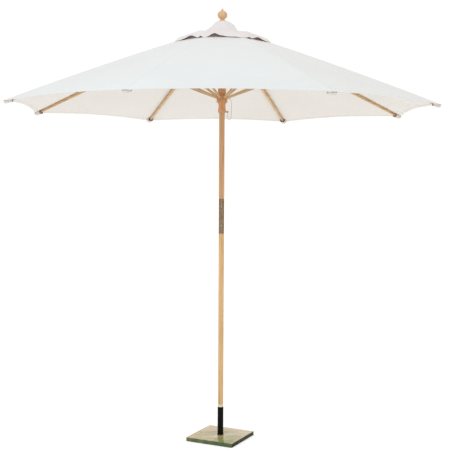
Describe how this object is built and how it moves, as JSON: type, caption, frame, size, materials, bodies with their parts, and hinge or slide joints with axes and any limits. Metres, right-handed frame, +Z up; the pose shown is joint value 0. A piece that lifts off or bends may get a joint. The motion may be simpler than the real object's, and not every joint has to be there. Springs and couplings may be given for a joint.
{
  "type": "patio umbrella with base",
  "caption": "Wooden market umbrella with a white octagonal canopy and vent cap, on a square polished stone base; it folds, lifts apart and turns.",
  "frame": {"origin": "centre of the base plate's underside", "axes": "+Z up along the pole; X and Y along the sides of the base plate, with a plate corner at azimuth 45 degrees"},
  "size_m": [2.724, 2.724, 2.75],
  "materials": {
    "honey_wood": "satin clear finish, light honey hardwood",
    "aged_brass": "brushed, dulled",
    "steel": "plain zinc plated",
    "black_steel": "satin black powder coat",
    "green_marble": "opaque polished green marble",
    "plastic": "pale moulded plastic",
    "white_cloth": "plain woven off-white cloth",
    "cord": "braided"
  },
  "bodies": {
    "base": {"base_plate": "green_marble", "base_tube": "black_steel", "base_washer": "steel", "base_bolt": "steel"},
    "collar": {"pole_collar": "plastic"},
    "lower_pole": {"lower_pole": "honey_wood", "ferrule": "aged_brass", "ferrule_screw_lower": "steel", "ferrule_screw_upper": "steel"},
    "mast": {"upper_pole": "honey_wood", "crown": "honey_wood", "crown_ring": "steel", "finial_stud": "steel", "vent_cap_top": "white_cloth"},
    "finial": {"finial": "honey_wood"},
    "runner": {"runner": "honey_wood", "peg_cord": "cord"},
    "peg": {"lock_peg": "honey_wood"},
    "rib_1": {"rib_1": "honey_wood", "bracket_1": "aged_brass", "canopy_1": "white_cloth", "vent_skirt_1": "white_cloth"},
    "strut_1": {"strut_1": "honey_wood"},
    "rib_2": {"rib_2": "honey_wood", "bracket_2": "aged_brass", "canopy_2": "white_cloth", "vent_skirt_2": "white_cloth"},
    "strut_2": {"strut_2": "honey_wood"},
    "rib_3": {"rib_3": "honey_wood", "bracket_3": "aged_brass", "canopy_3": "white_cloth", "vent_skirt_3": "white_cloth"},
    "strut_3": {"strut_3": "honey_wood"},
    "rib_4": {"rib_4": "honey_wood", "bracket_4": "aged_brass", "canopy_4": "white_cloth", "vent_skirt_4": "white_cloth"},
    "strut_4": {"strut_4": "honey_wood"},
    "rib_5": {"rib_5": "honey_wood", "bracket_5": "aged_brass", "canopy_5": "white_cloth", "vent_skirt_5": "white_cloth"},
    "strut_5": {"strut_5": "honey_wood"},
    "rib_6": {"rib_6": "honey_wood", "bracket_6": "aged_brass", "canopy_6": "white_cloth", "vent_skirt_6": "white_cloth"},
    "strut_6": {"strut_6": "honey_wood"},
    "rib_7": {"rib_7": "honey_wood", "bracket_7": "aged_brass", "canopy_7": "white_cloth", "vent_skirt_7": "white_cloth"},
    "strut_7": {"strut_7": "honey_wood"},
    "rib_8": {"rib_8": "honey_wood", "bracket_8": "aged_brass", "canopy_8": "white_cloth", "vent_skirt_8": "white_cloth"},
    "strut_8": {"strut_8": "honey_wood"}
  },
  "joints": [
    {"name": "pole_turn", "type": "hinge", "parent": "base", "child": "collar", "pos_m": [0, 0, 0.2], "axis": [0, 0, 1], "continuous": true},
    {"name": "pole_lift", "type": "slide", "parent": "collar", "child": "lower_pole", "axis": [0, 0, 1], "range_m": [0, 0.185]},
    {"name": "mast_lift", "type": "slide", "parent": "lower_pole", "child": "mast", "axis": [0, 0, 1], "range_m": [0, 0.12]},
    {"name": "finial_turn", "type": "hinge", "parent": "mast", "child": "finial", "pos_m": [0, 0, 2.7], "axis": [0, 0, 1], "continuous": true},
    {"name": "runner_slide", "type": "slide", "parent": "mast", "child": "runner", "axis": [0, 0, -1], "range_m": [0, 0.7284]},
    {"name": "peg_pull", "type": "slide", "parent": "runner", "child": "peg", "axis": [0.8771, 0.4802, 0], "range_m": [0, 0.02], "deforming": ["peg_cord"]},
    {"name": "rib_1_fold", "type": "hinge", "parent": "mast", "child": "rib_1", "pos_m": [0.00475, -0.04374, 2.60201], "axis": [0.9942, 0.108, 0], "range_deg": [0, 65.01], "deforming": ["canopy_1", "vent_skirt_1"]},
    {"name": "strut_1_fold", "type": "hinge", "parent": "rib_1", "child": "strut_1", "pos_m": [0.06173, -0.56819, 2.39177], "axis": [0.9942, 0.108, 0], "range_deg": [-129.87, 0]},
    {"name": "rib_2_fold", "type": "hinge", "parent": "mast", "child": "rib_2", "pos_m": [0.03429, -0.02757, 2.60201], "axis": [0.6266, 0.7793, 0], "range_deg": [0, 65.01], "deforming": ["canopy_2", "vent_skirt_2"]},
    {"name": "strut_2_fold", "type": "hinge", "parent": "rib_2", "child": "strut_2", "pos_m": [0.44542, -0.35813, 2.39177], "axis": [0.6266, 0.7793, 0], "range_deg": [-129.87, 0]},
    {"name": "rib_3_fold", "type": "hinge", "parent": "mast", "child": "rib_3", "pos_m": [0.04374, 0.00475, 2.60201], "axis": [-0.108, 0.9942, 0], "range_deg": [0, 65.01], "deforming": ["canopy_3", "vent_skirt_3"]},
    {"name": "strut_3_fold", "type": "hinge", "parent": "rib_3", "child": "strut_3", "pos_m": [0.56819, 0.06173, 2.39177], "axis": [-0.108, 0.9942, 0], "range_deg": [-129.87, 0]},
    {"name": "rib_4_fold", "type": "hinge", "parent": "mast", "child": "rib_4", "pos_m": [0.02757, 0.03429, 2.60201], "axis": [-0.7793, 0.6266, 0], "range_deg": [0, 65.01], "deforming": ["canopy_4", "vent_skirt_4"]},
    {"name": "strut_4_fold", "type": "hinge", "parent": "rib_4", "child": "strut_4", "pos_m": [0.35813, 0.44542, 2.39177], "axis": [-0.7793, 0.6266, 0], "range_deg": [-129.87, 0]},
    {"name": "rib_5_fold", "type": "hinge", "parent": "mast", "child": "rib_5", "pos_m": [-0.00475, 0.04374, 2.60201], "axis": [-0.9942, -0.108, 0], "range_deg": [0, 65.01], "deforming": ["canopy_5", "vent_skirt_5"]},
    {"name": "strut_5_fold", "type": "hinge", "parent": "rib_5", "child": "strut_5", "pos_m": [-0.06173, 0.56819, 2.39177], "axis": [-0.9942, -0.108, 0], "range_deg": [-129.87, 0]},
    {"name": "rib_6_fold", "type": "hinge", "parent": "mast", "child": "rib_6", "pos_m": [-0.03429, 0.02757, 2.60201], "axis": [-0.6266, -0.7793, 0], "range_deg": [0, 65.01], "deforming": ["canopy_6", "vent_skirt_6"]},
    {"name": "strut_6_fold", "type": "hinge", "parent": "rib_6", "child": "strut_6", "pos_m": [-0.44542, 0.35813, 2.39177], "axis": [-0.6266, -0.7793, 0], "range_deg": [-129.87, 0]},
    {"name": "rib_7_fold", "type": "hinge", "parent": "mast", "child": "rib_7", "pos_m": [-0.04374, -0.00475, 2.60201], "axis": [0.108, -0.9942, 0], "range_deg": [0, 65.01], "deforming": ["canopy_7", "vent_skirt_7"]},
    {"name": "strut_7_fold", "type": "hinge", "parent": "rib_7", "child": "strut_7", "pos_m": [-0.56819, -0.06173, 2.39177], "axis": [0.108, -0.9942, 0], "range_deg": [-129.87, 0]},
    {"name": "rib_8_fold", "type": "hinge", "parent": "mast", "child": "rib_8", "pos_m": [-0.02757, -0.03429, 2.60201], "axis": [0.7793, -0.6266, 0], "range_deg": [0, 65.01], "deforming": ["canopy_8", "vent_skirt_8"]},
    {"name": "strut_8_fold", "type": "hinge", "parent": "rib_8", "child": "strut_8", "pos_m": [-0.35813, -0.44542, 2.39177], "axis": [0.7793, -0.6266, 0], "range_deg": [-129.87, 0]}
  ],
  "couplings": [
    {"joint": "rib_1_fold", "follows": "runner_slide", "rad_per_m": 1.5575},
    {"joint": "strut_1_fold", "follows": "runner_slide", "rad_per_m": -3.1117},
    {"joint": "rib_2_fold", "follows": "runner_slide", "rad_per_m": 1.5575},
    {"joint": "strut_2_fold", "follows": "runner_slide", "rad_per_m": -3.1117},
    {"joint": "rib_3_fold", "follows": "runner_slide", "rad_per_m": 1.5575},
    {"joint": "strut_3_fold", "follows": "runner_slide", "rad_per_m": -3.1117},
    {"joint": "rib_4_fold", "follows": "runner_slide", "rad_per_m": 1.5575},
    {"joint": "strut_4_fold", "follows": "runner_slide", "rad_per_m": -3.1117},
    {"joint": "rib_5_fold", "follows": "runner_slide", "rad_per_m": 1.5575},
    {"joint": "strut_5_fold", "follows": "runner_slide", "rad_per_m": -3.1117},
    {"joint": "rib_6_fold", "follows": "runner_slide", "rad_per_m": 1.5575},
    {"joint": "strut_6_fold", "follows": "runner_slide", "rad_per_m": -3.1117},
    {"joint": "rib_7_fold", "follows": "runner_slide", "rad_per_m": 1.5575},
    {"joint": "strut_7_fold", "follows": "runner_slide", "rad_per_m": -3.1117},
    {"joint": "rib_8_fold", "follows": "runner_slide", "rad_per_m": 1.5575},
    {"joint": "strut_8_fold", "follows": "runner_slide", "rad_per_m": -3.1117}
  ]
}
